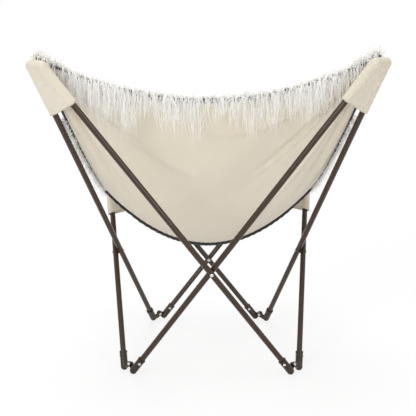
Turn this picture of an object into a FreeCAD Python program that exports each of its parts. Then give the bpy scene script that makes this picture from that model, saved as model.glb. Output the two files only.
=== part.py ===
"""Folding butterfly chair: eight crossed tubes with hinged elbow fittings carry a furred canvas sling.

Millimetres. +Z is up, the sitter faces -Y and the sitter's left is +X. The origin lies on the floor,
under the middle of the four top corners.
"""

import FreeCAD
import Part
import Sketcher
import math
import os

from FreeCAD import Matrix, Placement, Rotation, Vector

SIZES = {
    # Tubes, and the air between the two tubes of a crossing
    "tube_diameter": 16.0,
    "tube_wall": 1.2,
    "tube_gap": 1.5,
    # Theoretical corners, in the middle planes of the crossings
    "rear_foot_side": 240.0,
    "rear_foot_back": 151.0,
    "rear_foot_height": -13.0,
    "front_foot_side": 187.0,
    "front_foot_front": 317.0,
    "front_foot_height": -26.0,
    "rear_top_side": 465.0,
    "rear_top_back": 368.0,
    "rear_top_height": 953.0,
    "front_top_side": 318.0,
    "front_top_front": 348.0,
    # Elbow fittings: sleeve, collar at its mouth, hinge lug, flat under a foot
    "sleeve_diameter": 21.0,
    "sleeve_length": 45.0,
    "sleeve_floor": 8.0,
    "sleeve_fit": 0.05,
    "collar_rise": 0.8,
    "collar_length": 4.0,
    "lug_reach": 25.0,
    "lug_radius": 7.5,
    "lug_thickness": 6.0,
    "lug_gap": 0.8,
    "foot_flat": 0.5,
    # Rivets, pins and washers
    "sleeve_rivet_radius": 2.0,
    "sleeve_rivet_inset": 12.0,
    "pin_radius": 3.0,
    "pin_play": 0.5,
    "pin_head_play": 0.4,
    "pin_split": 0.2,
    "cross_rivet_radius": 3.0,
    "rivet_fit": 0.05,
    "head_height": 1.6,
    "head_overhang": 2.0,
    "head_play": 0.15,
    "washer_radius": 6.5,
    "washer_play": 0.15,
    # Corner pockets of the cover
    "pocket_wall": 1.5,
    "pocket_clearance": 0.5,
    "rear_pocket_length": 150.0,
    "front_pocket_length": 190.0,
    "tip_rise": 14.0,
    "tip_radius": 8.0,
    "tip_draw": 3.0,
    # Sling: where its corners sit on the pockets, how its edges run and sag, its layers
    "corner_rise": 18.0,
    "corner_shift": 14.0,
    "rear_side_run": 420.0,
    "front_side_run": 300.0,
    "rear_edge_forward": 90.0,
    "rear_edge_sag": 112.0,
    "front_edge_back": 32.0,
    "front_edge_sag": 128.0,
    "belly_back": -40.0,
    "belly_height": 70.0,
    "seam_share": 0.59,
    "canvas_thickness": 2.5,
    "fur_thickness": 11.0,
    "binding_width": 11.0,
    "binding_thickness": 1.2,
    "cover_gap": 0.3,
}

# Each tube runs from a foot corner to a top corner.
TUBES = {
    "rear_tube_outer": ("rear_right_foot", "rear_left_top"),
    "rear_tube_inner": ("rear_left_foot", "rear_right_top"),
    "left_tube_outer": ("rear_left_foot", "front_left_top"),
    "left_tube_inner": ("front_left_foot", "rear_left_top"),
    "right_tube_outer": ("rear_right_foot", "front_right_top"),
    "right_tube_inner": ("front_right_foot", "rear_right_top"),
    "front_tube_outer": ("front_left_foot", "front_right_top"),
    "front_tube_inner": ("front_right_foot", "front_left_top"),
}

# The outer and the inner tube of each crossing, and the way out of the chair there.
CROSSINGS = {
    "rear": ("rear_tube_outer", "rear_tube_inner", Vector(0, 1, 0)),
    "left": ("left_tube_outer", "left_tube_inner", Vector(1, 0, 0)),
    "right": ("right_tube_outer", "right_tube_inner", Vector(-1, 0, 0)),
    "front": ("front_tube_outer", "front_tube_inner", Vector(0, -1, 0)),
}

# The tube whose hinge lug lies outside at each corner.
OUTER_LUGS = {
    "rear_left_foot": "left_tube_outer",
    "rear_right_foot": "right_tube_outer",
    "front_left_foot": "front_tube_outer",
    "front_right_foot": "front_tube_inner",
    "rear_left_top": "rear_tube_outer",
    "rear_right_top": "rear_tube_inner",
    "front_left_top": "left_tube_outer",
    "front_right_top": "right_tube_outer",
}

# Corners with one whole pin. The pins of the others are halves that meet between the lugs.
WHOLE_PINS = ("rear_left_top", "rear_right_top", "front_right_top")

# The side tube that the sling's edge follows down from each top corner.
EDGE_TUBES = {
    "rear_left_top": "left_tube_inner",
    "rear_right_top": "right_tube_inner",
    "front_left_top": "left_tube_outer",
    "front_right_top": "right_tube_outer",
}

LEVELLING_ROUNDS = 14
FLOOR_SPAN = 2000.0
FLOOR_DEPTH = 60.0
FULL_TURN = 360.0


def unit(vector):
    return vector * (1.0 / vector.Length)


def mirrored(name):
    if "left" in name:
        return name.replace("left", "right")
    return name.replace("right", "left")


def axes_placement(origin, along_x, along_z):
    """Placement with the given X and Z directions, which are square to each other."""
    along_y = along_z.cross(along_x)
    return Placement(
        Matrix(
            along_x.x, along_y.x, along_z.x, origin.x,
            along_x.y, along_y.y, along_z.y, origin.y,
            along_x.z, along_y.z, along_z.z, origin.z,
        )
    )


class Corner:
    """Two tubes whose axes meet in one point, and the hinge pin that stands off both by the lug's reach."""

    def __init__(self, name, point, tubes, directions, lug_reach):
        first, second = directions
        half_angle = first.getAngle(second) / 2
        self.name = name
        self.spread = math.tan(half_angle)
        self.lean = math.cos(half_angle)
        self.down = unit(first + second)
        self.pin = point + self.down * (lug_reach / math.sin(half_angle))
        self.elbows = {}
        for tube, direction in zip(tubes, directions):
            self.elbows[tube] = point + direction * (lug_reach / self.spread)
        normal = unit(first.cross(second))
        outward = normal.dot(Vector(self.pin.x, self.pin.y, 0))
        self.outward = normal if outward > 0 else normal * -1

    def lowest(self):
        return min(elbow.z for elbow in self.elbows.values())


class Frame:
    """Axes of the eight tubes, solved so that both tubes of every corner and crossing fit together."""

    def __init__(self, size):
        self.size = size
        self.nominal = self.nominal_corners()
        self.planes = self.crossing_planes()
        self.points, self.slides = self.meeting_points()
        for _ in range(LEVELLING_ROUNDS):
            self.solve_corners()
            self.level()
        self.solve_corners()
        self.centre()

    def nominal_corners(self):
        size = self.size
        rear_foot = Vector(size["rear_foot_side"], size["rear_foot_back"], size["rear_foot_height"])
        front_foot = Vector(size["front_foot_side"], -size["front_foot_front"], size["front_foot_height"])
        rear_top = Vector(size["rear_top_side"], size["rear_top_back"], size["rear_top_height"])
        side_normal = (front_foot - rear_foot).cross(rear_top - rear_foot)
        front_top = Vector(size["front_top_side"], -size["front_top_front"], rear_foot.z)
        front_top.z -= side_normal.dot(front_top - rear_foot) / side_normal.z
        corners = {}
        left = {"rear_left_foot": rear_foot, "front_left_foot": front_foot}
        left.update({"rear_left_top": rear_top, "front_left_top": front_top})
        for name, point in left.items():
            corners[name] = point
            corners[mirrored(name)] = Vector(-point.x, point.y, point.z)
        return corners

    def crossing_planes(self):
        """The plane of each tube: the normal of its crossing and half the pitch to either side."""
        half_pitch = (self.size["tube_diameter"] + self.size["tube_gap"]) / 2
        planes = {}
        for outer, inner, outward in CROSSINGS.values():
            runs = []
            for tube in (outer, inner):
                foot, top = TUBES[tube]
                runs.append(self.nominal[top] - self.nominal[foot])
            normal = unit(runs[0].cross(runs[1]))
            if normal.dot(outward) < 0:
                normal = normal * -1
            planes[outer] = (normal, half_pitch)
            planes[inner] = (normal, -half_pitch)
        return planes

    def tubes_at(self, corner):
        return [tube for tube, ends in TUBES.items() if corner in ends]

    def meeting_points(self):
        """The point nearest each nominal corner where the planes of its two tubes meet, and their line."""
        points = {}
        slides = {}
        for corner, nominal in self.nominal.items():
            first, second = self.tubes_at(corner)
            normal_a, offset_a = self.planes[first]
            normal_b, offset_b = self.planes[second]
            line = unit(normal_a.cross(normal_b))
            if line.z < 0:
                line = line * -1
            shift = normal_b.cross(line) * offset_a + line.cross(normal_a) * offset_b
            points[corner] = nominal + shift * (1.0 / normal_a.dot(normal_b.cross(line)))
            slides[corner] = line
        return points, slides

    def solve_corners(self):
        self.directions = {}
        for tube, (foot, top) in TUBES.items():
            self.directions[tube] = unit(self.points[top] - self.points[foot])
        self.corners = {}
        for name, point in self.points.items():
            tubes = self.tubes_at(name)
            away = []
            for tube in tubes:
                starts_here = TUBES[tube][0] == name
                away.append(self.directions[tube] * (1 if starts_here else -1))
            self.corners[name] = Corner(name, point, tubes, away, self.size["lug_reach"])

    def level(self):
        """Slide each corner along its line until the feet stand on the floor and the tops are level."""
        rest = self.size["sleeve_diameter"] / 2 - self.size["foot_flat"]
        for name, corner in self.corners.items():
            if name.endswith("foot"):
                lift = rest - corner.lowest()
            else:
                lift = (self.corners[mirrored(name)].pin.z - corner.pin.z) / 2
            line = self.slides[name]
            self.points[name] = self.points[name] + line * (lift / line.z)

    def centre(self):
        """Move the frame so that the origin lies under the middle of the top elbows."""
        elbows = []
        for name, corner in self.corners.items():
            if name.endswith("top"):
                elbows.extend(corner.elbows.values())
        middle_x = (max(elbow.x for elbow in elbows) + min(elbow.x for elbow in elbows)) / 2
        middle_y = (max(elbow.y for elbow in elbows) + min(elbow.y for elbow in elbows)) / 2
        for name in self.points:
            self.points[name] = self.points[name] - Vector(middle_x, middle_y, 0)
        self.solve_corners()

    def elbow(self, tube, end):
        return self.corners[TUBES[tube][end]].elbows[tube]

    def length(self, tube):
        return (self.elbow(tube, 1) - self.elbow(tube, 0)).Length

    def crossing(self, name):
        """Middle of a crossing and its outward normal."""
        outer, inner, _ = CROSSINGS[name]
        normal, _ = self.planes[outer]
        start = self.elbow(outer, 0)
        other = self.elbow(inner, 0)
        run = self.directions[outer]
        across = self.directions[inner].cross(normal)
        on_outer = start + run * (across.dot(other - start) / across.dot(run))
        half_pitch = (self.size["tube_diameter"] + self.size["tube_gap"]) / 2
        return on_outer - normal * half_pitch, normal


def add_sheet(doc, name, values):
    sheet = doc.addObject("Spreadsheet::Sheet", name)
    for row, (alias, value) in enumerate(values.items(), start=1):
        sheet.set("A%d" % row, alias)
        sheet.set("B%d" % row, repr(float(value)))
        sheet.setAlias("B%d" % row, alias)
    return sheet


def solved_values(frame):
    """Lengths that follow from the solved frame, kept in a sheet of their own."""
    size = frame.size
    values = {}
    for tube in TUBES:
        values[tube + "_length"] = frame.length(tube) - 2 * size["sleeve_floor"]
    for name, (outer, inner, _) in CROSSINGS.items():
        middle, _ = frame.crossing(name)
        for tube in (outer, inner):
            run = frame.directions[tube].dot(middle - frame.elbow(tube, 0))
            values[tube + "_crossing"] = run - size["sleeve_floor"]
    for corner in EDGE_TUBES:
        top = frame.corners[corner]
        first, second = top.elbows.values()
        half = (second - first).Length / 2
        rise = -top.down.dot(first - top.pin)
        drop = pocket_length(corner, size) + rise
        values[corner + "_lean"] = top.lean
        values[corner + "_rise"] = rise
        values[corner + "_elbow_half"] = half
        values[corner + "_mouth_half"] = half + drop * top.spread
    return values


def pocket_length(corner, size):
    return size["rear_pocket_length"] if corner.startswith("rear") else size["front_pocket_length"]


def pocket_radius(corner, size):
    """Outside radius of a pocket's rounded edges: it clears the leaning sleeves and their rivet heads."""
    inside = size["sleeve_diameter"] / 2 + size["head_height"] + size["pocket_clearance"]
    return inside / corner.lean + size["pocket_wall"]


def new_sketch(body, name, role, offset=None):
    sketch = body.newObject("Sketcher::SketchObject", name)
    plane = next(feature for feature in body.Origin.OriginFeatures if feature.Role == role)
    sketch.AttachmentSupport = [(plane, "")]
    sketch.MapMode = "FlatFace"
    if offset is not None:
        sketch.AttachmentOffset = offset
    return sketch


def value_of(sketch, expression):
    return 0.0 if expression is None else float(sketch.evalExpression(expression))


def fix_point(sketch, geometry, point, place):
    """Tie a point of the sketch to expressions for its X and Y, or to an axis where one is None."""
    kinds = (("DistanceX", -2), ("DistanceY", -1))
    for expression, (kind, axis) in zip(place, kinds):
        if expression is None:
            sketch.addConstraint(Sketcher.Constraint("PointOnObject", geometry, point, axis))
            continue
        distance = value_of(sketch, expression)
        index = sketch.addConstraint(Sketcher.Constraint(kind, -1, 1, geometry, point, distance))
        sketch.setExpression("Constraints[%d]" % index, expression)


def add_circle(sketch, place, radius):
    middle = Vector(value_of(sketch, place[0]), value_of(sketch, place[1]), 0)
    circle = Part.Circle(middle, Vector(0, 0, 1), value_of(sketch, radius))
    geometry = sketch.addGeometry(circle)
    fix_point(sketch, geometry, 3, place)
    index = sketch.addConstraint(Sketcher.Constraint("Radius", geometry, circle.Radius))
    sketch.setExpression("Constraints[%d]" % index, radius)


def add_outline(sketch, corners, arcs=None):
    """Closed outline through the corners, anticlockwise. arcs maps an edge's number to its centre's X."""
    arcs = arcs or {}
    points = [Vector(value_of(sketch, x), value_of(sketch, y), 0) for x, y in corners]
    for number, start in enumerate(points):
        end = points[(number + 1) % len(points)]
        if number not in arcs:
            sketch.addGeometry(Part.LineSegment(start, end))
            continue
        middle = Vector(value_of(sketch, arcs[number]), 0, 0)
        circle = Part.Circle(middle, Vector(0, 0, 1), (start - middle).Length)
        angles = [math.atan2(p.y - middle.y, p.x - middle.x) for p in (start, end)]
        sketch.addGeometry(Part.ArcOfCircle(circle, angles[0], angles[1]))
    for number, place in enumerate(corners):
        previous = (number - 1) % len(corners)
        sketch.addConstraint(Sketcher.Constraint("Coincident", previous, 2, number, 1))
        fix_point(sketch, number, 1, place)
    for number, centre_x in arcs.items():
        fix_centre(sketch, number, centre_x)


def fix_centre(sketch, arc, centre_x):
    if centre_x is None:
        sketch.addConstraint(Sketcher.Constraint("PointOnObject", arc, 3, -2))
        return
    distance = value_of(sketch, centre_x)
    index = sketch.addConstraint(Sketcher.Constraint("DistanceX", -1, 1, arc, 3, distance))
    sketch.setExpression("Constraints[%d]" % index, centre_x)


def new_body(doc, name):
    body = doc.addObject("PartDesign::Body", name)
    body.Label = name
    return body


def pad(body, name, sketch, length, backwards=False):
    feature = body.newObject("PartDesign::Pad", name)
    feature.Profile = sketch
    feature.Reversed = backwards
    feature.setExpression("Length", length)
    return feature


def cross_holes(body, name, sketch):
    """Holes right through the body, square to the sketch."""
    feature = body.newObject("PartDesign::Pocket", name)
    feature.Profile = sketch
    feature.SideType = "Symmetric"
    feature.Type = "ThroughAll"
    return feature


def revolve(body, name, sketch):
    feature = body.newObject("PartDesign::Revolution", name)
    feature.Profile = sketch
    feature.ReferenceAxis = (sketch, ["V_Axis"])
    feature.Angle = FULL_TURN
    return feature


RIVET_FROM_ELBOW = "(Sizes.sleeve_length - Sizes.sleeve_rivet_inset)"


def make_tube(doc, frame, tube):
    """Drawn tube with a rivet hole at each end and one at its crossing, all square to the crossing."""
    body = new_body(doc, tube)
    ring = new_sketch(body, tube + "_ring", "XY_Plane")
    add_circle(ring, (None, None), "Sizes.tube_diameter / 2")
    add_circle(ring, (None, None), "Sizes.tube_diameter / 2 - Sizes.tube_wall")
    length = "Frame.%s_length" % tube
    pad(body, tube + "_wall", ring, length)
    holes = new_sketch(body, tube + "_hole_places", "YZ_Plane")
    rivet_hole = "Sizes.sleeve_rivet_radius + Sizes.rivet_fit"
    from_end = RIVET_FROM_ELBOW + " - Sizes.sleeve_floor"
    add_circle(holes, (None, from_end), rivet_hole)
    add_circle(holes, (None, "%s - (%s)" % (length, from_end)), rivet_hole)
    crossing_hole = "Sizes.cross_rivet_radius + Sizes.rivet_fit"
    add_circle(holes, (None, "Frame.%s_crossing" % tube), crossing_hole)
    cross_holes(body, tube + "_holes", holes)
    normal, _ = frame.planes[tube]
    direction = frame.directions[tube]
    start = frame.elbow(tube, 0) + direction * frame.size["sleeve_floor"]
    body.Placement = axes_placement(start, normal, direction)
    return body


def make_elbow(doc, frame, tube, end, floor):
    """Cast elbow: a sleeve with a ball end and a collar, and a flat lug for the corner's hinge pin."""
    corner = frame.corners[TUBES[tube][end]]
    node = "%s_%s_elbow" % (tube, "top" if end else "foot")
    body = new_body(doc, node)
    place = elbow_placement(frame, corner, tube, end)
    add_sleeve(body, node)
    outer = OUTER_LUGS[corner.name] == tube
    outward_is_y = place.Rotation.multVec(Vector(0, 1, 0)).dot(corner.outward) > 0
    running = corner.name in WHOLE_PINS and not outer
    add_lug(body, node, outer == outward_is_y, running)
    normal, _ = frame.planes[tube]
    local_normal = place.Rotation.inverted().multVec(normal)
    turn = math.degrees(math.atan2(local_normal.y, local_normal.x))
    offset = Placement(Vector(), Rotation(Vector(0, 1, 0), turn))
    hole = new_sketch(body, node + "_hole_place", "YZ_Plane", offset)
    add_circle(hole, (None, RIVET_FROM_ELBOW), "Sizes.sleeve_rivet_radius + Sizes.rivet_fit")
    cross_holes(body, node + "_hole", hole)
    body.Placement = place
    if end == 1:
        return body
    body.Label = node + "_casting"
    flat = doc.addObject("Part::Cut", node + "_flat")
    flat.Base = body
    flat.Tool = floor
    flat.Label = node
    return flat


def elbow_placement(frame, corner, tube, end):
    """Origin at the elbow's centre, Z into the tube, X to the hinge pin."""
    centre = corner.elbows[tube]
    direction = frame.directions[tube] * (-1 if end else 1)
    return axes_placement(centre, unit(corner.pin - centre), direction)


def add_sleeve(body, node):
    outside = "Sizes.sleeve_diameter / 2"
    collar = outside + " + Sizes.collar_rise"
    bore = "Sizes.tube_diameter / 2 + Sizes.sleeve_fit"
    mouth = "Sizes.sleeve_length"
    profile = new_sketch(body, node + "_profile", "XZ_Plane")
    corners = [
        (None, "-(%s)" % outside),
        (outside, None),
        (outside, mouth + " - Sizes.collar_length"),
        (collar, mouth + " - Sizes.collar_length"),
        (collar, mouth),
        (bore, mouth),
        (bore, "Sizes.sleeve_floor"),
        (None, "Sizes.sleeve_floor"),
    ]
    add_outline(profile, corners, {0: None})
    revolve(body, node + "_sleeve", profile)


def add_lug(body, node, towards_y, running):
    """Lug beside the elbow's middle plane. The running lug turns on the pin, the other holds it."""
    side = 1 if towards_y else -1
    sketch = new_sketch(body, node + "_lug_outline", "XZ_Plane")
    sketch.setExpression("AttachmentOffset.Base.z", "%d * Sizes.lug_gap / 2" % -side)
    radius = "Sizes.lug_radius"
    reach = "Sizes.lug_reach"
    corners = [(None, "-" + radius), (reach, "-" + radius), (reach, radius), (None, radius)]
    add_outline(sketch, corners, {1: reach})
    play = "Sizes.pin_play" if running else "Sizes.rivet_fit"
    add_circle(sketch, (reach, None), "Sizes.pin_radius + " + play)
    pad(body, node + "_lug", sketch, "Sizes.lug_thickness", towards_y)


def make_rivet(doc, name, shank, ends, place):
    """Rivet along Z. ends holds the lower and upper end of the shank and whether a head closes it."""
    (lower, lower_head), (upper, upper_head) = ends
    head = "%s + Sizes.head_overhang" % shank
    body = new_body(doc, name)
    profile = new_sketch(body, name + "_profile", "XZ_Plane")
    corners = []
    if lower_head:
        crown = "%s - Sizes.head_height" % lower
        corners += [(None, crown), (shank, crown), (head, lower), (shank, lower)]
    else:
        corners += [(None, lower), (shank, lower)]
    if upper_head:
        crown = "%s + Sizes.head_height" % upper
        corners += [(shank, upper), (head, upper), (shank, crown), (None, crown)]
    else:
        corners += [(shank, upper), (None, upper)]
    add_outline(profile, corners)
    revolve(body, name + "_turned", profile)
    body.Placement = place
    return body


def across(vector):
    """Any direction square to the vector."""
    return unit(vector.cross(Vector(0, 0, 1)))


def make_corner_pin(doc, frame, name):
    """Hinge pin on the outer lug's side: a whole pin, or its outer half."""
    corner = frame.corners[name]
    place = axes_placement(corner.pin, across(corner.outward), corner.outward)
    outer_face = "(Sizes.lug_gap / 2 + Sizes.lug_thickness)"
    if name in WHOLE_PINS:
        lower = ("-(%s + Sizes.pin_head_play)" % outer_face, True)
    else:
        lower = ("Sizes.pin_split / 2", False)
    return make_rivet(doc, name + "_pin", "Sizes.pin_radius", (lower, (outer_face, True)), place)


def make_rivet_group(doc, frame, tube):
    """The two sleeve rivets of a tube, with the inner half pins that its lugs hold."""
    normal, _ = frame.planes[tube]
    direction = frame.directions[tube]
    size = frame.size
    from_elbow = size["sleeve_length"] - size["sleeve_rivet_inset"]
    seat = "(Sizes.sleeve_diameter / 2)"
    rivets = []
    for end, corner_name in enumerate(TUBES[tube]):
        corner = frame.corners[corner_name]
        end_name = "top" if end else "foot"
        inward = direction * (-1 if end else 1)
        middle = corner.elbows[tube] + inward * from_elbow
        place = axes_placement(middle, inward, normal)
        ends = (("-" + seat, True), (seat, True))
        rivet_name = "%s_%s_rivet" % (tube, end_name)
        rivets.append(make_rivet(doc, rivet_name, "Sizes.sleeve_rivet_radius", ends, place))
        if corner_name not in WHOLE_PINS and OUTER_LUGS[corner_name] != tube:
            rivets.append(make_half_pin(doc, corner, "%s_%s_half_pin" % (tube, end_name)))
    group = doc.addObject("Part::Compound", tube + "_rivets")
    group.Links = rivets
    group.Label = tube + "_rivets"
    return group


def make_half_pin(doc, corner, name):
    inward = corner.outward * -1
    place = axes_placement(corner.pin, across(inward), inward)
    outer_face = "(Sizes.lug_gap / 2 + Sizes.lug_thickness)"
    ends = (("Sizes.pin_split / 2", False), (outer_face, True))
    return make_rivet(doc, name, "Sizes.pin_radius", ends, place)


def make_cross_rivet(doc, frame, name):
    middle, normal = frame.crossing(name)
    reach = "(Sizes.tube_diameter + Sizes.tube_gap / 2 + Sizes.head_play)"
    ends = (("-" + reach, True), (reach, True))
    place = axes_placement(middle, across(normal), normal)
    return make_rivet(doc, name + "_cross_rivet", "Sizes.cross_rivet_radius", ends, place)


def make_cross_washer(doc, frame, name):
    """Spacer between the two tubes of a crossing."""
    node = name + "_cross_washer"
    middle, normal = frame.crossing(name)
    body = new_body(doc, node)
    ring = new_sketch(body, node + "_ring", "XY_Plane")
    ring.setExpression("AttachmentOffset.Base.z", "Sizes.washer_play - Sizes.tube_gap / 2")
    add_circle(ring, (None, None), "Sizes.washer_radius")
    add_circle(ring, (None, None), "Sizes.cross_rivet_radius + Sizes.rivet_fit")
    pad(body, node + "_disc", ring, "Sizes.tube_gap - 2 * Sizes.washer_play")
    body.Placement = axes_placement(middle, across(normal), normal)
    return body


def make_pocket(doc, frame, corner_name):
    """Canvas pocket over a top corner: flattened bag with a drawn-in tip and an open mouth."""
    corner = frame.corners[corner_name]
    node = corner_name.replace("_top", "_pocket")
    body = new_body(doc, node)
    length = "Sizes.rear_pocket_length" if corner_name.startswith("rear") else "Sizes.front_pocket_length"
    solved = "Frame.%s_" % corner_name
    around = "(Sizes.sleeve_diameter / 2 + Sizes.head_height + Sizes.pocket_clearance)"
    inside = "%s / %slean" % (around, solved)
    tip = solved + "rise + Sizes.tip_rise"
    stations = (
        ("mouth", "-" + length, solved + "mouth_half", inside),
        ("elbow", solved + "rise", solved + "elbow_half", inside),
        ("tip", tip, solved + "elbow_half - Sizes.tip_draw", "Sizes.tip_radius"),
    )
    for kind, wall in (("Additive", "Sizes.pocket_wall"), ("Subtractive", None)):
        sections = []
        for station, height, half, radius in stations:
            raised = wall if station == "tip" else None
            name = "%s_%s_%s" % (node, kind, station)
            sections.append(slot_sketch(body, name, (height, raised), half, (radius, wall)))
        loft = body.newObject("PartDesign::%sLoft" % kind, "%s_%s" % (node, kind))
        loft.Profile = sections[0]
        loft.Sections = sections[1:]
        loft.Ruled = True
    first, second = corner.elbows.values()
    body.Placement = axes_placement(corner.pin, unit(second - first), corner.down * -1)
    return body


def slot_sketch(body, name, height_sum, half, radius_sum):
    """Slot outline at a height. Each sum is a size with an added size, or None."""
    height = " + ".join(term for term in height_sum if term)
    radius = "(" + " + ".join(term for term in radius_sum if term) + ")"
    sketch = new_sketch(body, name, "XY_Plane")
    sketch.setExpression("AttachmentOffset.Base.z", height)
    other = "-(%s)" % half
    corners = [(half, "-" + radius), (half, radius), (other, radius), (other, "-" + radius)]
    add_outline(sketch, corners, {0: half, 2: other})
    return sketch


class Sling:
    """Cloth surface between the four top corners: quadratic across, cubic from the top edge forward."""

    def __init__(self, frame):
        size = frame.size
        self.size = size
        sides = {}
        for side in ("left", "right"):
            sides[side] = self.side_poles(frame, side)
        belly = Vector(0, size["belly_back"], size["belly_height"])
        rear = self.edge_middle(sides, 0) - Vector(0, size["rear_edge_forward"], size["rear_edge_sag"])
        front = self.edge_middle(sides, 3) + Vector(0, size["front_edge_back"], -size["front_edge_sag"])
        middle = [rear, (rear + belly * 2) * (1 / 3), (front + belly * 2) * (1 / 3), front]
        self.poles = []
        for left, right, centre in zip(sides["left"], sides["right"], middle):
            self.poles.append((right, centre * 2 - (left + right) * 0.5, left))
        surface = self.build(self.poles)
        self.normals = []
        for along in range(4):
            row = [surface.normal(0.5 * over, along / 3) * -1 for over in range(3)]
            self.normals.append(row)
        self.surface = surface

    def edge_middle(self, sides, row):
        middle = (sides["left"][row] + sides["right"][row]) * 0.5
        return Vector(0, middle.y, middle.z)

    def side_poles(self, frame, side):
        """The side edge leaves each corner along the side tube there."""
        size = self.size
        rear, rear_run = self.corner_point(frame, "rear_%s_top" % side)
        front, front_run = self.corner_point(frame, "front_%s_top" % side)
        return [
            rear,
            rear + rear_run * size["rear_side_run"],
            front + front_run * size["front_side_run"],
            front,
        ]

    def corner_point(self, frame, name):
        """The sling's corner lies on the sitter's side of the pocket, beside the side tube."""
        size = self.size
        corner = frame.corners[name]
        tube = EDGE_TUBES[name]
        aside = unit((corner.elbows[tube] - corner.pin).cross(corner.outward).cross(corner.outward)) * -1
        aside = unit(aside - corner.down * aside.dot(corner.down))
        inset = pocket_radius(corner, size) + 2 * size["cover_gap"] + size["binding_thickness"]
        point = corner.pin - corner.down * size["corner_rise"] + aside * size["corner_shift"]
        return point - corner.outward * inset, frame.directions[tube] * -1

    def build(self, poles):
        surface = Part.BezierSurface()
        surface.increase(2, 3)
        for along, row in enumerate(poles, start=1):
            for over, pole in enumerate(row, start=1):
                surface.setPole(over, along, pole)
        return surface

    def layer(self, offset, across_range, along_range):
        """Part of the surface, moved by the offset towards the sitter."""
        poles = []
        for row, normals in zip(self.poles, self.normals):
            poles.append([pole + normal * offset for pole, normal in zip(row, normals)])
        surface = self.build(poles)
        surface.segment(*across_range, *along_range)
        return surface

    def slab(self, offsets, across_range=(0.0, 1.0), along_range=(0.0, 1.0)):
        """Closed solid between two layers."""
        lower, upper = [self.layer(offset, across_range, along_range) for offset in offsets]
        faces = [lower.toShape(), upper.toShape()]
        for share in (0.0, 1.0):
            for rim in ("uIso", "vIso"):
                edges = [getattr(surface, rim)(share).toShape() for surface in (lower, upper)]
                faces.append(Part.makeRuledSurface(*edges))
        shell = Part.makeShell(faces)
        shell.sewShape()
        solid = Part.makeSolid(shell)
        if solid.Volume < 0:
            solid.reverse()
        return solid

    def across_share(self, width):
        """Share of the sling's width that a length takes up at its narrowest."""
        return width / (self.poles[3][2] - self.poles[3][0]).Length

    def along_share(self, width):
        start = self.surface.value(0.5, 0.0)
        middle = self.surface.value(0.5, self.size["seam_share"])
        end = self.surface.value(0.5, 1.0)
        return width / ((middle - start).Length + (end - middle).Length)


def add_feature(doc, node, shape):
    feature = doc.addObject("Part::Feature", node)
    feature.Label = node
    feature.Shape = shape
    feature.Placement = Placement()
    return feature


def make_cover(doc, frame):
    """Canvas panels, fur lining and binding tapes of the sling."""
    size = frame.size
    sling = Sling(frame)
    gap = size["cover_gap"]
    seam = size["seam_share"]
    canvas = (0.0, size["canvas_thickness"])
    fur = (canvas[1] + gap, canvas[1] + gap + size["fur_thickness"])
    tape = (-gap - size["binding_thickness"], -gap)
    side = sling.across_share(size["binding_width"])
    edge = sling.along_share(size["binding_width"])
    inner = (side, 1.0 - side)
    rim = [
        sling.slab(tape, (0.0, side)),
        sling.slab(tape, (1.0 - side, 1.0)),
        sling.slab(tape, inner, (0.0, edge)),
        sling.slab(tape, inner, (1.0 - edge, 1.0)),
    ]
    return [
        add_feature(doc, "back_panel", sling.slab(canvas, along_range=(0.0, seam))),
        add_feature(doc, "seat_panel", sling.slab(canvas, along_range=(seam, 1.0))),
        add_feature(doc, "fur_lining", sling.slab(fur)),
        add_feature(doc, "edge_binding", Part.makeCompound(rim)),
        add_feature(doc, "seam_binding", sling.slab(tape, inner, (seam - edge / 2, seam + edge / 2))),
    ]


def make_floor(doc):
    """Block under the floor plane that cuts the flats of the feet."""
    floor = doc.addObject("Part::Box", "floor_block")
    floor.Length = FLOOR_SPAN
    floor.Width = FLOOR_SPAN
    floor.Height = FLOOR_DEPTH
    floor.Placement = Placement(Vector(-FLOOR_SPAN / 2, -FLOOR_SPAN / 2, -FLOOR_DEPTH), Rotation())
    return floor


def build(doc):
    add_sheet(doc, "Sizes", SIZES)
    frame = Frame(SIZES)
    add_sheet(doc, "Frame", solved_values(frame))
    doc.recompute()
    floor = make_floor(doc)
    parts = []
    for tube in TUBES:
        parts.append(make_tube(doc, frame, tube))
        parts.append(make_elbow(doc, frame, tube, 0, floor))
        parts.append(make_elbow(doc, frame, tube, 1, floor))
        parts.append(make_rivet_group(doc, frame, tube))
    for name in frame.corners:
        parts.append(make_corner_pin(doc, frame, name))
    for name in CROSSINGS:
        parts.append(make_cross_rivet(doc, frame, name))
        parts.append(make_cross_washer(doc, frame, name))
    for name in EDGE_TUBES:
        parts.append(make_pocket(doc, frame, name))
    parts.extend(make_cover(doc, frame))
    doc.recompute()
    return parts


def check(doc, parts):
    for thing in doc.Objects:
        if {"Invalid", "Error"} & set(thing.State):
            raise RuntimeError("%s did not rebuild: %s" % (thing.Label, thing.State))
    for part in parts:
        if part.Shape.isNull() or not part.Shape.isValid():
            raise RuntimeError("%s has no valid shape" % part.Label)


def export(parts):
    os.makedirs("parts", exist_ok=True)
    for part in parts:
        part.Shape.exportStep(os.path.join("parts", part.Label + ".step"))


def main():
    doc = FreeCAD.newDocument("butterfly_chair")
    parts = build(doc)
    check(doc, parts)
    export(parts)
    for part in parts:
        print("%-32s %2d solids %10.1f mm3" % (part.Label, len(part.Shape.Solids), part.Shape.Volume))


main()
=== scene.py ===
"""Furred canvas sling, finishes and studio for a folding butterfly chair frame."""
import math

import bmesh
import bpy
import numpy as np
from mathutils import Matrix


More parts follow.
